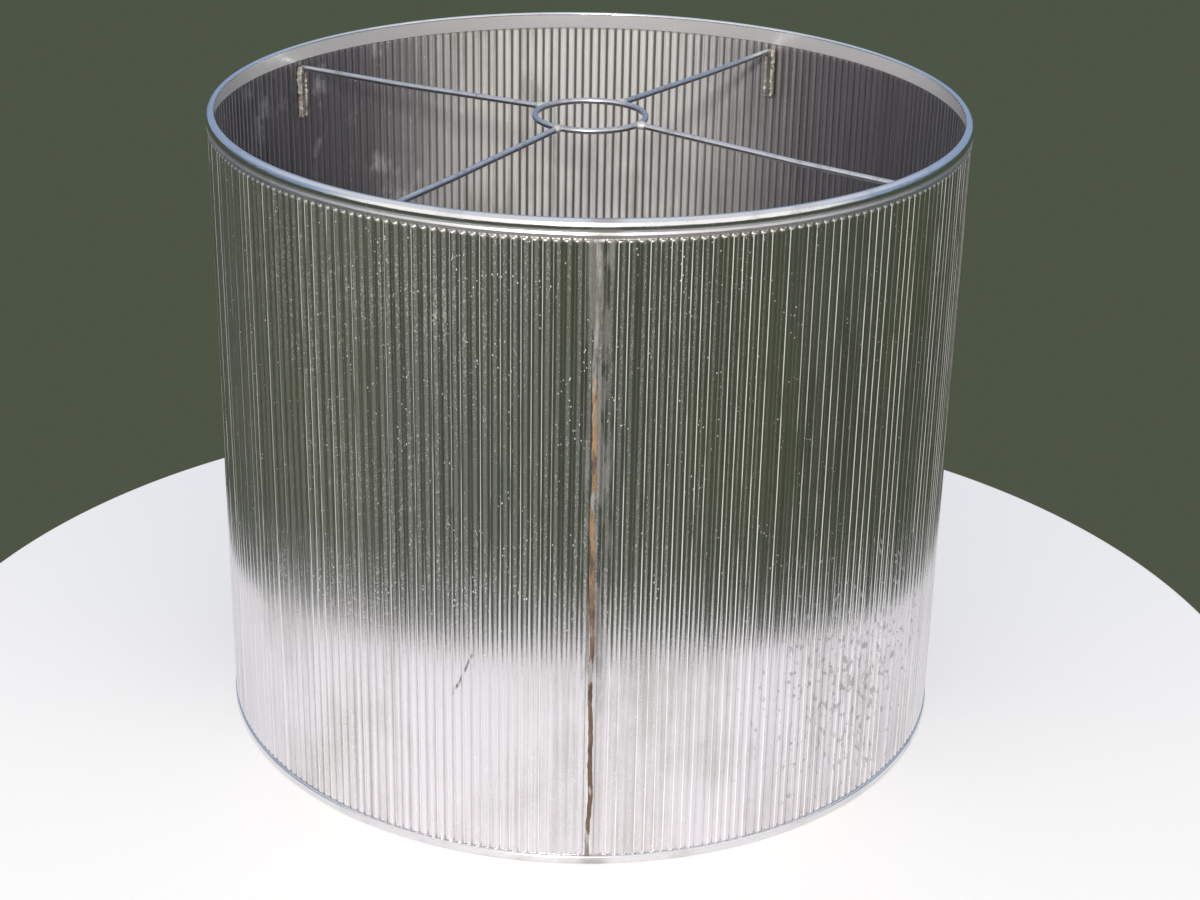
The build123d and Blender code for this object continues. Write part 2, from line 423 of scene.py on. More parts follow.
@dataclass(frozen=True)
class RolledSteel(Finish):
    """Bright rolled strip of the two rims."""

    steel: Colour = (0.74, 0.74, 0.76)
    tarnish: Colour = (0.40, 0.39, 0.38)
    roughness: float = 0.16

    def paint(self, graph: Graph) -> dict[str, object]:
        """Faint rolling marks round the strip, tarnish in patches and dirt by the seam, painted light on the
        inner faces and painted shade on the collar.
        """
        x, y, z = graph.axes()
        marks = graph.cloud((0.12, 0.12, 1.0), 1900.0, 2.0)
        patches = graph.cloud((1.0, 1.0, 1.6), 70.0, 5.0, 0.6)
        pits = graph.cloud((1.0, 1.0, 1.0), 900.0, 3.0, 0.6)
        tarnish = patches.ramp(0.5, 0.72) * 0.35 + pits.ramp(0.62, 0.74) * 0.3
        radius = (x**2.0 + y**2.0) ** 0.5
        # painted light: the rims' inner faces are whitened, made less metallic and rougher, so they render
        # pale as if lit
        inside = radius.ramp(0.1514, 0.1507) * z.ramp(0.2606, 0.2597)
        # painted shade: the outer collar under the top bead is darkened to a mauve grey and made rougher
        shaded_collar = z.ramp(0.2581, 0.2573) * z.ramp(0.1, 0.2) * (1.0 - inside)
        colour = graph.mix(tarnish, self.steel, self.tarnish)
        colour = graph.mix(inside * 0.6, colour, (0.90, 0.885, 0.87))
        colour = graph.mix(shaded_collar * 0.35, colour, (0.52, 0.49, 0.52))
        beside = abs(x - 0.002).ramp(0.009, 0.001) * y.ramp(0.0, -0.1)
        colour = graph.mix(beside * 0.5, colour, (0.22, 0.2, 0.17))
        return {
            "Base Color": colour,
            "Metallic": (1.0 - pits.ramp(0.66, 0.78) * 0.4) * (1.0 - inside * 0.38),
            "Roughness": self.roughness + tarnish * 0.3 + beside * 0.15 + inside * 0.22 + shaded_collar * 0.26,
            "Normal": bump(graph, marks * 0.4 + pits * 0.3 + patches * 0.5, 0.12 * MM, 0.7),
        }


@dataclass(frozen=True)
class DrawnWire(Finish):
    """Drawn steel wire, plated and a little dulled."""

    steel: Colour = (0.54, 0.55, 0.58)
    dull: Colour = (0.27, 0.27, 0.275)
    roughness: float = 0.24

    def paint(self, graph: Graph) -> dict[str, object]:
        """Dull patches and fine pits along the wire."""
        patches = graph.cloud((1.0, 1.0, 1.0), 160.0, 4.0, 0.6)
        pits = graph.cloud((1.0, 1.0, 1.0), 1400.0, 3.0)
        worn = patches.ramp(0.48, 0.7) * 0.6
        return {
            "Base Color": graph.mix(worn, self.steel, self.dull),
            "Metallic": 1.0 - pits.ramp(0.6, 0.75) * 0.35,
            "Roughness": self.roughness + worn * 0.3 + pits * 0.1,
            "Normal": bump(graph, patches * 0.5 + pits * 0.4, 0.14 * MM, 0.7),
        }


@dataclass(frozen=True)
class Solder(Finish):
    """Solder or braze as it froze, pale and grainy, with flux and dirt in the lows."""

    bright: Colour = (0.55, 0.53, 0.49)
    dirty: Colour = (0.23, 0.18, 0.12)
    metallic: float = 0.55
    roughness: float = 0.42
    dirt_share: float = 0.7

    def paint(self, graph: Graph) -> dict[str, object]:
        """Lumps in two colours with a grainy skin."""
        lumps = graph.cloud((1.0, 1.0, 0.7), 420.0, 4.0, 0.6)
        grain = graph.cloud((1.0, 1.0, 1.0), 2400.0, 3.0)
        dirt = lumps.ramp(0.44, 0.64) * self.dirt_share
        return {
            "Base Color": graph.mix(dirt, self.bright, self.dirty),
            "Metallic": self.metallic * (1.0 - dirt * 0.6),
            "Roughness": self.roughness + dirt * 0.25 + grain * 0.1,
            "Normal": bump(graph, lumps * 0.9 + grain * 0.35, 0.3 * MM, 0.8),
        }


@dataclass(frozen=True)
class RustedSeam(Finish):
    """Solder along the lap seam: pale grey at the top, rusted brown below, with dark patches."""

    solder: Colour = (0.42, 0.41, 0.39)
    rust: Colour = (0.115, 0.065, 0.038)
    ochre: Colour = (0.33, 0.20, 0.10)
    rust_top: float = 0.203

    def paint(self, graph: Graph) -> dict[str, object]:
        """Rust that starts raggedly below the plain solder."""
        _, _, z = graph.axes()
        lumps = graph.cloud((1.0, 1.0, 0.3), 330.0, 5.0, 0.62)
        grain = graph.cloud((1.0, 1.0, 1.0), 2200.0, 3.0)
        below = (z + (lumps - 0.5) * 0.012).ramp(self.rust_top + 0.002, self.rust_top - 0.002)
        bare = graph.cloud((1.0, 1.0, 0.2), 330.0, 3.0).ramp(0.53, 0.60) * 0.85
        dark = graph.cloud((1.0, 1.0, 0.3), 420.0, 3.0).ramp(0.50, 0.62) * 0.75
        rust = graph.mix((lumps * 0.6 + z * 2.2).ramp(0.42, 0.75), self.rust, self.ochre)
        rust = graph.mix(dark, rust, (0.055, 0.042, 0.034))
        grey = graph.mix(lumps.ramp(0.45, 0.66) * 0.8, self.solder, (0.16, 0.15, 0.13))
        covered = below * (1.0 - bare)
        return {
            "Base Color": graph.mix(covered, grey, rust),
            "Metallic": 0.6 - covered * 0.55,
            "Roughness": 0.42 + covered * 0.3 + grain * 0.1,
            "Normal": bump(graph, lumps * 0.8 + grain * 0.4, 0.3 * MM, 0.8),
        }


@dataclass(frozen=True)
class PalePaint(Finish):
    """Matt pale paint of the stand."""

    paint_colour: Colour = (0.83, 0.815, 0.80)

    def paint(self, graph: Graph) -> dict[str, object]:
        """Faint unevenness of a brushed coat."""
        uneven = graph.cloud((1.0, 1.0, 1.0), 9.0, 4.0)
        return {
            "Base Color": graph.mix(uneven * 0.12, self.paint_colour, (0.74, 0.74, 0.76)),
            "Roughness": 0.62 + uneven * 0.1,
            "Normal": bump(graph, uneven, 0.4 * MM, 0.3),
        }


class Finishes(Enum):
    """The finishes that the shade has."""

    OUTER_WALL = FlutedTin("tinplate_outside")
    INNER_WALL = FlutedTin(
        "tinplate_inside",
        tin=(0.84, 0.825, 0.81),
        upper_tint=(0.80, 0.785, 0.76),
        grime_share=0.8,
        wear_and_glint_share=0.2,
        bloom_share=0.15,
        stain_share=0.4,
        painted_side_shade_share=0.75,
        pale_middle_share=0.55,
        roughness=0.32,
    )
    RIM = RolledSteel("rim_steel")
    CORE = DrawnWire("core_wire_steel", steel=(0.45, 0.45, 0.46), roughness=0.36)
    WIRE = DrawnWire("spider_wire_steel")
    BRAZE = Solder("braze_metal", bright=(0.62, 0.61, 0.58), dirty=(0.34, 0.31, 0.26), metallic=0.8)
    LEG = Solder(
        "leg_solder_metal",
        bright=(0.42, 0.39, 0.33),
        dirty=(0.11, 0.08, 0.05),
        metallic=0.35,
        dirt_share=0.9,
    )
    RUN = Solder("rim_solder_metal", bright=(0.66, 0.65, 0.62), dirty=(0.30, 0.27, 0.22), metallic=0.8)
    SEAM = RustedSeam("seam_solder_metal")
    STAND = PalePaint("stand_paint")


# -------------------------------------------------------------------------------------------------- bench


class Bench:
    """The few hand moves that every piece is made with, each one an operator on the piece in edit mode."""

    def __init__(self, name: str) -> None:
        """Name the piece that is about to be made.

        Args:
            name: the piece's name.
        """
        self.name = name
        for shown in bpy.context.selected_objects:
            shown.select_set(False)

    @property
    def piece(self) -> bpy.types.Object:
        """The piece on the bench."""
        return bpy.context.view_layer.objects.active

    def take(self, add: Callable[..., object], **values: object) -> "Bench":
        """Add a primitive as the piece and go into edit mode.

        Args:
            add: the primitive's operator.
            values: its size and place.

        Returns:
            The bench.
        """
        add(**values)
        self.piece.name = self.name
        self.piece.data.name = self.name
        bpy.ops.object.mode_set(mode="OBJECT")
        bpy.ops.object.transform_apply(location=True, rotation=True, scale=True)
        bpy.ops.object.mode_set(mode="EDIT")
        bpy.ops.mesh.select_mode(type="VERT")
        return self

    def start_at(self, point: Sequence[float]) -> "Bench":
        """Begin the piece as one point, to be extruded.

        Args:
            point: where.

        Returns:
            The bench.
        """
        self.take(bpy.ops.mesh.primitive_plane_add, size=MM, location=tuple(point))
        bpy.ops.mesh.select_all(action="SELECT")
        bpy.ops.mesh.merge(type="CENTER")
        return self

    def draw(self, points: Sequence[Sequence[float]]) -> "Bench":
        """Begin at the first point and extrude through the rest, as one line of edges.

        Args:
            points: the line's points.

        Returns:
            The bench.
        """
        self.start_at(points[0])
        for before, after in zip(points, points[1:]):
            self.extrude(Vector(after) - Vector(before))
        return self

    def extrude(self, step: Sequence[float]) -> None:
        """Extrude what is selected.

        Args:
            step: how far along each axis.
        """
        bpy.ops.mesh.extrude_region_move(TRANSFORM_OT_translate={"value": tuple(step)})

    def pick(self, test: Callable[[Vector], bool]) -> int:
        """Select the vertices that pass a test on their place.

        Args:
            test: the test.

        Returns:
            How many passed.
        """
        bpy.ops.mesh.select_all(action="DESELECT")
        bpy.ops.object.mode_set(mode="OBJECT")
        count = 0
        for vertex in self.piece.data.vertices:
            vertex.select = bool(test(vertex.co))
            count += vertex.select
        bpy.ops.object.mode_set(mode="EDIT")
        return count

    def move(self, step: Sequence[float]) -> None:
        """Translate what is selected.

        Args:
            step: how far along each axis.
        """
        bpy.ops.transform.translate(value=tuple(step))

    def scale(self, factors: Sequence[float], about: Sequence[float]) -> None:
        """Scale what is selected about a point.

        Args:
            factors: the factor along each axis.
            about: the point that stays.
        """
        bpy.ops.transform.resize(value=tuple(factors), center_override=tuple(about))

    def spin(self, steps: int, angle: float, copies: bool = False, **where: object) -> None:
        """Spin all of the piece about the drum's axis, or about another one.

        Args:
            steps: how many steps.
            angle: the whole turn, in radians.
            copies: whether to leave separate copies rather than a swept surface.
            where: another centre and axis.
        """
        bpy.ops.mesh.select_all(action="SELECT")
        bpy.ops.mesh.spin(
            steps=steps,
            angle=angle,
            dupli=copies,
            center=where.get("center", (0.0, 0.0, 0.0)),
            axis=where.get("axis", (0.0, 0.0, 1.0)),
        )

    def close(self, gap: float = 0.004 * MM) -> None:
        """Merge doubles and turn the normals outwards.

        Args:
            gap: how near two points are merged.
        """
        bpy.ops.mesh.select_all(action="SELECT")
        bpy.ops.mesh.remove_doubles(threshold=gap)
        bpy.ops.mesh.normals_make_consistent(inside=False)

    def leave(self) -> bpy.types.Object:
        """Leave edit mode.

        Returns:
            The piece.
        """
        bpy.ops.object.mode_set(mode="OBJECT")
        return self.piece

    def modify(self, kind: str, **settings: object) -> None:
        """Add a modifier and apply it.

        Args:
            kind: the modifier's type.
            settings: its properties.
        """
        made = self.piece.modifiers.new(kind.lower(), kind)
        for name, value in settings.items():
            setattr(made, name, value)
        bpy.ops.object.modifier_apply(modifier=made.name)

    def roughen(
        self, name: str, size: float, strength: float, depth: int = 2, along: str = "NORMAL"
    ) -> None:
        """Displace the piece by a cloudy texture.

        Args:
            name: the texture's name.
            size: size of its features.
            strength: whole range of the displacement.
            depth: octaves.
            along: NORMAL, or X for a sideways shift.
        """
        cloud = bpy.data.textures.new(name, "CLOUDS")
        cloud.noise_scale = size
        cloud.noise_depth = depth
        self.modify(
            "DISPLACE",
            texture=cloud,
            texture_coords="GLOBAL",
            direction=along,
            strength=strength,
            mid_level=0.5,
        )


@dataclass
class SubAssembly:
    """Pieces of the shade that belong together."""

    def keep(
        self, piece: bpy.types.Object, node: str, slot: str, finish: Finishes, smooth: float
    ) -> None:
        """Dress a finished piece, hang it on the body and let it stand for its node.

        Args:
            piece: the finished piece.
            node: the node that it replaces.
            slot: the record's material slot; not used.
            finish: its finish.
            smooth: edges flatter than this many degrees shade smooth.
        """
        for shown in bpy.context.selected_objects:
            shown.select_set(False)
        piece.select_set(True)
        bpy.context.view_layer.objects.active = piece
        if not piece.data.materials:
            piece.data.materials.append(finish.value.material())
        bpy.ops.object.shade_smooth_by_angle(angle=math.radians(smooth))
        piece.select_set(False)
        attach(piece, BODY)
        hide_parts(node)
        log.info("%s stands for %s: %d faces", piece.name, node, len(piece.data.polygons))


def turned(piece: bpy.types.Object, name: str, angle: float) -> bpy.types.Object:
    """Copy a piece with a mesh of its own, turned about the drum's axis.

    Args:
        piece: the piece to copy.
        name: the copy's name.
        angle: the turn in degrees.

    Returns:
        The copy.
    """
    copy = piece.copy()
    copy.data = piece.data.copy()
    copy.name = copy.data.name = name
    copy.data.transform(Matrix.Rotation(math.radians(angle), 4, "Z"))
    bpy.context.scene.collection.objects.link(copy)
    return copy


def rounded(
    points: Sequence[tuple[float, float]], radii: Sequence[float], steps: int
) -> list[tuple[float, float]]:
    """Round the corners of a line in a plane.

    Args:
        points: the line's corners.
        radii: the radius at each inner corner.
        steps: chords per corner.

    Returns:
        The rounded line's points.
    """
    line = [points[0]]
    for before, corner, after, radius in zip(points, points[1:], points[2:], radii):
        here = Vector(corner)
        way_in = (here - Vector(before)).normalized()
        way_out = (Vector(after) - here).normalized()
        turn = math.atan2(way_in.x * way_out.y - way_in.y * way_out.x, way_in.dot(way_out))
        start = here - way_in * (radius * math.tan(abs(turn) / 2))
        arm = Vector((-way_in.y, way_in.x)) * math.copysign(radius, turn)
        centre = start + arm
        for step in range(steps + 1):
            spoke = (start - centre).copy()
            spoke.rotate(Matrix.Rotation(turn * step / steps, 2))
            line.append(tuple(centre + spoke))
    return [*line, points[-1]]


# --------------------------------------------------------------------------------------------- fluted wall


@dataclass
class FlutedWall(SubAssembly):
    """The fluted sheet with its plain margins and the lap seam's land."""

    radius: float
    foot: float
    head: float
    pitches: int = 258
    depth: float = 0.8 * MM
    crest_share: float = 0.62
    sheet: float = 0.4 * MM
    margin_depth: float = 0.7 * MM
    land_depth: float = 0.4 * MM
    columns: int = 8
    flute_low: float = 3.8 * MM
    flute_high: float = 253.8 * MM
    dome: float = 0.95 * MM
    land_half_width: float = 2.0 * MM
    middle_rows: int = 6
    flattest: float = 0.0001
    parking: float = 10.0
    merge_gap: float = 0.03 * MM

    @property
    def pitch_angle(self) -> float:
        """Angle that a flute takes, in radians."""
        return 2 * math.pi / self.pitches

    def inset(self, share: float) -> float:
        """How far the sheet lies inside the crests at a share of the pitch from the crest, 0 to 0.5.

        Args:
            share: the share.

        Returns:
            The inset in metres.
        """
        pitch = self.pitch_angle * self.radius
        if share <= self.crest_share / 2:
            half, rise = self.crest_share / 2 * pitch, self.crest_share * self.depth
            arc = (half**2 + rise**2) / (2 * rise)
            return arc - math.sqrt(arc**2 - (share * pitch) ** 2)
        half, rise = (1 - self.crest_share) / 2 * pitch, (1 - self.crest_share) * self.depth
        arc = (half**2 + rise**2) / (2 * rise)
        return self.depth - arc + math.sqrt(arc**2 - ((0.5 - share) * pitch) ** 2)

    def heights(self) -> list[tuple[float, float]]:
        """Heights of the rows, each with how far the flute is developed there, 0 to 1."""
        ends = ((0.0, 0.0), (0.1, 0.42), (0.3, 0.74), (0.6, 0.94), (1.0, 1.0))
        low = [(self.flute_low + at * self.dome, share) for at, share in ends]
        high = [(self.flute_high - at * self.dome, share) for at, share in reversed(ends)]
        span = high[0][0] - low[-1][0]
        steps = range(1, self.middle_rows)
        middle = [(low[-1][0] + span * step / self.middle_rows, 1.0) for step in steps]
        return [(self.foot, 0.0), *low, *middle, *high, (self.head, 0.0)]

    def strip(self, bench: Bench, insets: Sequence[tuple[float, float]]) -> None:
        """Model one pitch of the wall, on the -Y side.

        Args:
            bench: the bench that it is made on.
            insets: for each column its place across the pitch, -0.5 to 0.5, and its inset.
        """
        rows = self.heights()
        margin = self.radius - self.margin_depth
        bench.take(
            bpy.ops.mesh.primitive_grid_add,
            x_subdivisions=len(insets) - 1,
            y_subdivisions=len(rows) - 1,
            size=1.0,
            rotation=(math.pi / 2, 0.0, 0.0),
        )
        for number, (across, inset) in enumerate(insets):
            at = number / (len(insets) - 1) - 0.5
            angle, radius = across * self.pitch_angle, self.radius - inset
            bench.pick(lambda co: abs(co.x - at) < 0.01 and abs(co.y) < 0.01)
            bench.move((radius * math.sin(angle) - at, -radius * math.cos(angle), 0.0))
        for number, (height, share) in enumerate(rows):
            at = number / (len(rows) - 1) - 0.5
            bench.pick(lambda co: abs(co.z - at) < 0.01)
            bench.scale((1.0, max(share, self.flattest), 1.0), (0.0, -margin, 0.0))
            bench.move((0.0, 0.0, self.parking + height - at))
        bench.pick(lambda co: True)
        bench.move((0.0, 0.0, -self.parking))

    def build(self) -> None:
        """Model a flute and the seam's land, spin the flute round, join them and thicken the sheet."""
        shares = [column / self.columns - 0.5 for column in range(self.columns + 1)]
        bench = Bench("drum_wall")
        self.strip(bench, [(share, self.inset(abs(share))) for share in shares])
        bench.spin(self.pitches - 2, (self.pitches - 2) * self.pitch_angle, copies=True)
        bench.pick(lambda co: True)
        bpy.ops.transform.rotate(value=self.pitch_angle, orient_axis="Z", center_override=(0.0, 0.0, 0.0))
        flutes = bench.leave()

        bench = Bench("seam_land")
        half = self.land_half_width / (self.pitch_angle * self.radius)
        land = [
            (-0.5, self.inset(0.5)),
            (-half * 0.98, self.land_depth * 1.2),
            (-half * 0.7, self.land_depth),
        ]
        land += [(-share, inset) for share, inset in reversed(land)]
        self.strip(bench, land)
        bench.leave()
        flutes.select_set(True)
        bpy.context.view_layer.objects.active = flutes
        bpy.ops.object.join()
        bench = Bench("drum_wall")
        flutes.select_set(True)
        bpy.ops.object.mode_set(mode="EDIT")
        bench.close(self.merge_gap)
        wall = bench.leave()
        wall.data.materials.append(Finishes.OUTER_WALL.value.material())
        wall.data.materials.append(Finishes.INNER_WALL.value.material())
        bench.roughen("wall_waviness", 0.035, 0.22 * MM, 3)
        bench.modify("SOLIDIFY", thickness=self.sheet, offset=-1.0, material_offset=1, use_rim=True)
        self.keep(wall, "fluted_wall", "fluted_tinplate", Finishes.OUTER_WALL, 80.0)


# ---------------------------------------------------------------------------------------------- the rims


@dataclass
class RolledRim(SubAssembly):
    """A rim rolled from strip: a line in the drum's section, spun round and given the strip's thickness."""

    name: str
    node: str
    corners: list[tuple[float, float]]
    radii: list[float]
    strip: float = 0.4 * MM
    steps: int = 420
    flats: int = 5

    def build(self) -> None:
        """Draw the section on the +X side, spin it and thicken it."""
        line = rounded(self.corners, self.radii, self.flats)
        bench = Bench(self.name).draw([(radius, 0.0, height) for radius, height in line])
        bench.spin(self.steps, 2 * math.pi)
        bench.close()
        rim = bench.leave()
        bench.modify("SOLIDIFY", thickness=self.strip, offset=0.0, use_even_offset=True)
        self.keep(rim, self.node, "hoop_steel", Finishes.RIM, 60.0)


# --------------------------------------------------------------------------------------------- the spider


@dataclass
class Spider(SubAssembly):
    """The lampholder ring, its four arms, and the metal that holds them together and to the wall."""

    height: float
    first_angle: float
    drop_leg: float
    wire: float = 1.25 * MM
    ring_radius: float = 22.25 * MM
    arm_inner: float = 23.7 * MM
    arm_mid: float = 95.0 * MM
    arm_fall: float = 2.7 * MM
    arm_end_fall: float = 3.7 * MM
    leg_radius: float = 149.84 * MM
    bend: float = 3.0 * MM
    sides: int = 16
    tip_length: float = 0.4 * MM
    tip_taper: float = 0.6
    braze_reach: float = 1.7 * MM
    braze_lumps: float = 0.7 * MM
    solder_lumps: float = 1.5 * MM

    def build(self) -> None:
        """Build the ring, then the pieces of each arm."""
        self.ring()
        arm, braze, solder = self.arm(), self.braze(), self.leg_solder()
        for number in range(4):
            angle = self.first_angle + 90.0 * number
            for made, stem, node, slot, finish in (
                (arm, "arm", "spider_arm", "spider_wire", Finishes.WIRE),
                (braze, "braze", "ring_braze", "braze", Finishes.BRAZE),
                (solder, "solder", "leg_solder", "leg_solder", Finishes.LEG),
            ):
                copy = turned(made, f"{stem}_{number + 1}", angle)
                if made is not arm:
                    lumps = self.braze_lumps if made is braze else self.solder_lumps
                    self.lump(copy, f"{stem}_lumps_{number + 1}", lumps)
                self.keep(copy, f"{node}_{number + 1}", slot, finish, 70.0)
        for made in (arm, braze, solder):
            bpy.data.objects.remove(made)

    def lump(self, piece: bpy.types.Object, name: str, strength: float) -> None:
        """Make a copy uneven in its own way.

        Args:
            piece: the copy.
            name: name of its texture.
            strength: range of the unevenness.
        """
        bench = Bench(piece.name)
        piece.select_set(True)
        bpy.context.view_layer.objects.active = piece
        bench.roughen(name, 2.0 * MM, strength, 2)

    def ring(self) -> None:
        """Spin a circle round the drum's axis."""
        bench = Bench("lamp_ring").take(
            bpy.ops.mesh.primitive_circle_add,
            vertices=self.sides,
            radius=self.wire,
            location=(self.ring_radius, 0.0, self.height),
            rotation=(math.pi / 2, 0.0, 0.0),
        )
        bench.spin(144, 2 * math.pi)
        bench.close()
        self.keep(bench.leave(), "spider_ring", "spider_wire", Finishes.WIRE, 80.0)

    def arm(self) -> bpy.types.Object:
        """Extrude a circle out to the wall, round the bend and down the leg, along +X.

        Returns:
            The arm.
        """
        top = self.height
        slope = -math.atan2(self.arm_fall, self.arm_mid - self.arm_inner)
        level = -math.atan2(self.arm_end_fall - self.arm_fall, self.leg_radius - self.arm_mid)
        bench = Bench("arm_pattern").take(
            bpy.ops.mesh.primitive_circle_add,
            vertices=self.sides,
            radius=self.wire,
            fill_type="NGON",
            location=(self.arm_inner, 0.0, top),
            rotation=(0.0, math.pi / 2 - slope, 0.0),
        )
        bpy.ops.mesh.select_all(action="SELECT")
        bench.extrude((self.arm_mid - self.arm_inner, 0.0, -self.arm_fall))
        middle = (self.arm_mid, 0.0, top - self.arm_fall)
        bpy.ops.transform.rotate(
            value=level - slope, orient_axis="Y", orient_type="GLOBAL", center_override=middle
        )
        reach = self.leg_radius - self.bend - self.arm_mid
        bench.extrude((reach, 0.0, reach * math.tan(level)))
        corner = top - self.arm_end_fall
        bpy.ops.mesh.spin(
            steps=8,
            angle=-(math.pi / 2 + level),
            center=(self.leg_radius - self.bend, 0.0, corner - self.bend),
            axis=(0.0, 1.0, 0.0),
        )
        bench.extrude((0.0, 0.0, -(corner - self.bend - self.drop_leg - self.tip_length)))
        bench.extrude((0.0, 0.0, -self.tip_length))
        bpy.ops.transform.resize(value=(self.tip_taper,) * 3)
        bench.close()
        return bench.leave()

    def braze(self) -> bpy.types.Object:
        """Stretch a ball over the end of the arm and the ring.

        Returns:
            The braze.
        """
        about = (self.ring_radius + self.braze_reach, 0.0, self.height)
        bench = Bench("braze_pattern").take(
            bpy.ops.mesh.primitive_uv_sphere_add,
            segments=28,
            ring_count=18,
            radius=1.0 * MM,
            location=about,
            rotation=(0.0, math.pi / 2, 0.0),
        )
        bench.pick(lambda co: True)
        bench.scale((2.9, 1.9, 1.72), about)
        return bench.leave()

    def leg_solder(self) -> bpy.types.Object:
        """Model the solder down both sides of a leg from a bevelled block.

        Returns:
            The solder.
        """
        low, high = self.drop_leg - 1.0 * MM, self.drop_leg + 21.4 * MM
        bench = Bench("solder_pattern").take(
            bpy.ops.mesh.primitive_cube_add,
            size=1.0,
            location=(self.leg_radius - 0.1 * MM, 0.0, (low + high) / 2),
            scale=(2.6 * MM, 4.3 * MM, high - low),
        )
        bpy.ops.mesh.select_all(action="SELECT")
        bpy.ops.mesh.bevel(offset=0.85 * MM, segments=3, affect="EDGES")
        bpy.ops.mesh.select_all(action="SELECT")
        bpy.ops.mesh.subdivide(number_cuts=5)
        bench.pick(lambda co: co.x < self.leg_radius and abs(co.y) < 0.9 * MM)
        bench.move((1.3 * MM, 0.0, 0.0))
        solder = bench.leave()
        bench.modify("REMESH", mode="VOXEL", voxel_size=0.32 * MM)
        return solder


# ---------------------------------------------------------------------------------------------- the seams


@dataclass
class Seams(SubAssembly):
    """Solder down the lap seam and the short run under the top rim beside it."""

    radius: float
    seam_low: float
    seam_high: float
    rim_low: float
    rim_high: float
    seam_width: float = 1.75 * MM
    end_room: float = 0.6 * MM
    run_start: float = -88.0
    run_turn: float = 5.0
    run_inset: float = 0.35 * MM

    def build(self) -> None:
        """Build the strip, then the run."""
        self.strip()
        self.run()

    def strip(self) -> None:
        """Lay a long narrow grid on the wall, raise its middle, roughen it and thicken it."""
        middle = (0.0, -self.radius, (self.seam_low + self.seam_high) / 2)
        bench = Bench("seam_strip").take(
            bpy.ops.mesh.primitive_grid_add,
            x_subdivisions=8,
            y_subdivisions=250,
            size=1.0,
            location=middle,
            rotation=(math.pi / 2, 0.0, 0.0),
        )
        bench.pick(lambda co: True)
        long = self.seam_high - self.seam_low - self.end_room
        bench.scale((self.seam_width, 1.0, long), middle)
        bench.pick(lambda co: abs(co.x) < 0.8 * MM)
        bench.move((0.0, -0.14 * MM, 0.0))
        bench.pick(lambda co: abs(co.x) < 0.5 * MM)
        bench.move((0.0, -0.09 * MM, 0.0))
        strip = bench.leave()
        bench.roughen("seam_lumps", 4.0 * MM, 0.22 * MM, 3)
        bench.roughen("seam_sway", 34.0 * MM, 3.0 * MM, along="X")
        bench.roughen("seam_edges", 3.0 * MM, 0.7 * MM, along="X")
        bench.modify("SOLIDIFY", thickness=0.2 * MM, offset=-1.0)
        self.keep(strip, "seam_solder", "seam_solder", Finishes.SEAM, 60.0)

    def run(self) -> None:
        """Spin a short bead of solder round under the rim."""
        start = math.radians(self.run_start)
        about = (self.radius - self.run_inset, 0.0, (self.rim_low + self.rim_high) / 2)
        bench = Bench("rim_run").take(
            bpy.ops.mesh.primitive_circle_add,
            vertices=10,
            radius=1.0 * MM,
            location=about,
            rotation=(math.pi / 2, 0.0, 0.0),
        )
        bench.pick(lambda co: True)
        bench.scale((0.48, 1.0, (self.rim_high - self.rim_low) / 2 / MM), about)
        bpy.ops.transform.rotate(value=-start, orient_axis="Z", center_override=(0.0, 0.0, 0.0))
        bench.spin(40, -math.radians(self.run_turn))
        run = bench.leave()
        bench.roughen("run_lumps", 2.2 * MM, 0.1 * MM, 2)
        self.keep(run, "rim_solder", "seam_solder", Finishes.RUN, 70.0)


# ---------------------------------------------------------------------------------------------- the studio


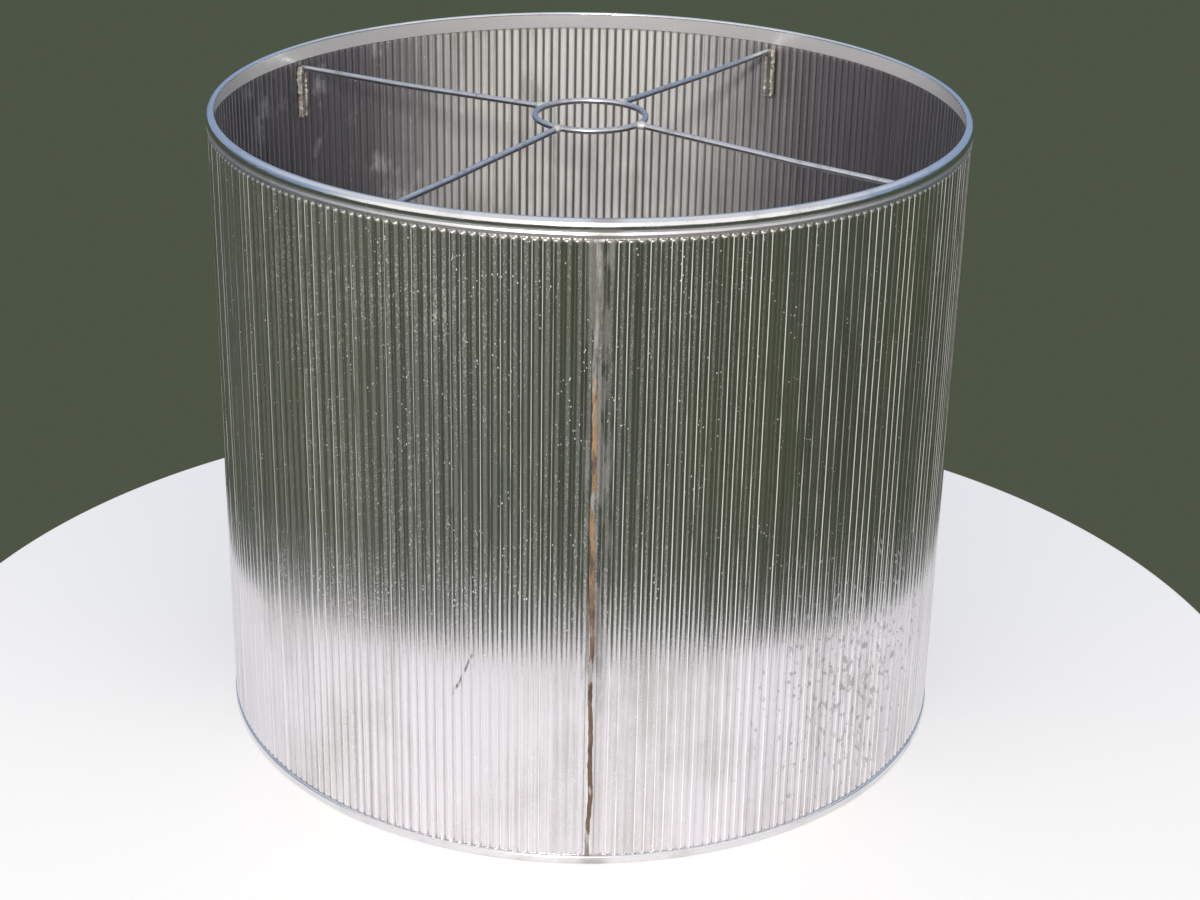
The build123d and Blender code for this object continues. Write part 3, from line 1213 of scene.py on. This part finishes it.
@dataclass
class Studio:
    """The pale round stand, the light round it and the camera."""

    stand_radius: float = 0.3025
    stand_back: float = 0.0095
    stand_thickness: float = 0.03
    camera_place: tuple[float, float, float] = (-0.0221, -0.8864, 0.5049)
    camera_turn: float = 1.852
    camera_dip: float = 24.162
    camera_roll: float = 1.139
    lens: float = 67.96
    key_side: float = 8.5
    key_height: float = 24.0
    key_strength: float = 2.45
    key_spread: float = 6.0

    def build(self) -> None:
        """Build the stand, the world, the key light and the camera."""
        self.stand()
        self.world()
        self.key()
        self.camera()

    def stand(self) -> None:
        """Model the round stand with a rounded edge."""
        bench = Bench("stand").take(
            bpy.ops.mesh.primitive_cylinder_add,
            vertices=256,
            radius=self.stand_radius,
            depth=self.stand_thickness,
            location=(0.0, -self.stand_back, -self.stand_thickness / 2),
        )
        bench.pick(lambda co: co.z > -0.001)
        bpy.ops.mesh.bevel(offset=0.003, segments=4, affect="EDGES")
        stand = bench.leave()
        stand.data.materials.append(Finishes.STAND.value.material())
        bpy.ops.object.shade_smooth_by_angle(angle=math.radians(40.0))
        stand.select_set(False)
        log.info("stand: %d faces", len(stand.data.polygons))

    def world(self) -> None:
        """Surround the shade with a dim ground, a pale blue low sky, and white overhead and by the key."""
        world = bpy.data.worlds.new("surroundings")
        bpy.context.scene.world = world
        world.use_nodes = True
        graph = Graph(world.node_tree)
        way = graph.node("ShaderNodeTexCoord", output="Generated")
        _, along, up = graph.split(way)
        ground: Colour = (0.075, 0.09, 0.06)
        low_sky: Colour = (0.30, 0.41, 0.60)
        high_sky: Colour = (0.84, 0.86, 0.90)
        haze: Colour = (1.25, 1.22, 1.18)
        sky = graph.mix(up.ramp(0.32, 0.85), low_sky, high_sky)
        sky = graph.mix(along.ramp(0.0, -0.45) * up.ramp(0.95, 0.55), sky, haze)
        colour = graph.mix(up.ramp(0.0, 0.12), ground, sky)
        light = graph.node("ShaderNodeBackground", {}, {"Color": colour, "Strength": 1.0})
        graph.node("ShaderNodeOutputWorld", {}, {"Surface": light})

    def key(self) -> None:
        """Hang the soft key light behind the camera, a little to its left."""
        lamp = bpy.data.lights.new("key", "SUN")
        lamp.energy = self.key_strength
        lamp.angle = math.radians(self.key_spread)
        lamp.color = (1.0, 0.975, 0.94)
        key = bpy.data.objects.new("key", lamp)
        bpy.context.scene.collection.objects.link(key)
        side, rise = math.radians(self.key_side), math.radians(self.key_height)
        towards = Vector((-math.sin(side) * math.cos(rise), -math.cos(side) * math.cos(rise), math.sin(rise)))
        key.rotation_euler = towards.to_track_quat("Z", "Y").to_euler()
        key.location = towards

    def camera(self) -> None:
        """Set the camera up: turned from +Y, dipped below level and rolled."""
        lens = bpy.data.cameras.new("camera")
        lens.lens = self.lens
        lens.sensor_width = 36.0
        lens.sensor_fit = "HORIZONTAL"
        lens.clip_start = 0.01
        camera = bpy.data.objects.new("camera", lens)
        bpy.context.scene.collection.objects.link(camera)
        camera.location = self.camera_place
        camera.rotation_euler = (
            Matrix.Rotation(math.radians(-self.camera_turn), 3, "Z")
            @ Matrix.Rotation(math.radians(90.0 - self.camera_dip), 3, "X")
            @ Matrix.Rotation(math.radians(self.camera_roll), 3, "Z")
        ).to_euler()
        bpy.context.scene.camera = camera


# ------------------------------------------------------------------------------------------------- making


def millimetres(*pairs: tuple[float, float]) -> list[tuple[float, float]]:
    """Turn points in millimetres into metres."""
    return [(radius * MM, height * MM) for radius, height in pairs]


def dress_core_wires() -> None:
    """Give the core wires, which stay as they are, the finish of dull wire."""
    for name in ("top_hoop_wire", "bottom_hoop_wire"):
        wire = bpy.data.objects[name]
        for slot in wire.material_slots:
            slot.material = Finishes.CORE.value.material()
        log.info("%s keeps its shape", name)


def main() -> None:
    """Build and dress the shade, then set up the studio."""
    logging.basicConfig(level=logging.INFO, format="%(name)s: %(message)s")
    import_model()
    bpy.context.scene.view_settings.view_transform = "Standard"

    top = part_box("top_hoop")[1][2]
    wall_low, wall_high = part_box("fluted_wall")
    seam_low, seam_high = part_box("seam_solder")
    run_low, run_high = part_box("rim_solder")
    ring_low, ring_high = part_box("spider_ring")
    arm_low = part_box("spider_arm_1")[0]
    crest = wall_high[0] - 0.03 * MM
    drop = top / MM

    FlutedWall(radius=crest, foot=wall_low[2], head=wall_high[2]).build()
    RolledRim(
        name="top_rim",
        node="top_hoop",
        corners=millimetres(
            (150.94, drop - 7.2),
            (149.37, drop - 0.2),
            (150.9, drop - 0.2),
            (152.1, drop - 0.95),
            (152.56, drop - 2.4),
            (152.5, drop - 3.6),
            (152.07, drop - 4.4),
            (152.42, drop - 5.5),
            (152.07, drop - 6.6),
        ),
        radii=[0.5 * MM, 1.6 * MM, 1.4 * MM, 2.2 * MM, 0.8 * MM, 0.35 * MM, 0.5 * MM],
    ).build()
    RolledRim(
        name="bottom_rim",
        node="bottom_hoop",
        corners=millimetres((150.94, 6.5), (149.77, 0.2), (152.77, 0.2), (152.77, 3.45), (151.6, 3.45)),
        radii=[0.6 * MM, 0.7 * MM, 0.8 * MM],
    ).build()
    Spider(
        height=(ring_low[2] + ring_high[2]) / 2,
        first_angle=55.8,
        drop_leg=arm_low[2],
    ).build()
    Seams(
        radius=crest - 0.1 * MM,
        seam_low=seam_low[2],
        seam_high=seam_high[2],
        rim_low=run_low[2],
        rim_high=run_high[2],
    ).build()
    dress_core_wires()
    Studio().build()


if __name__ == "__main__":
    main()
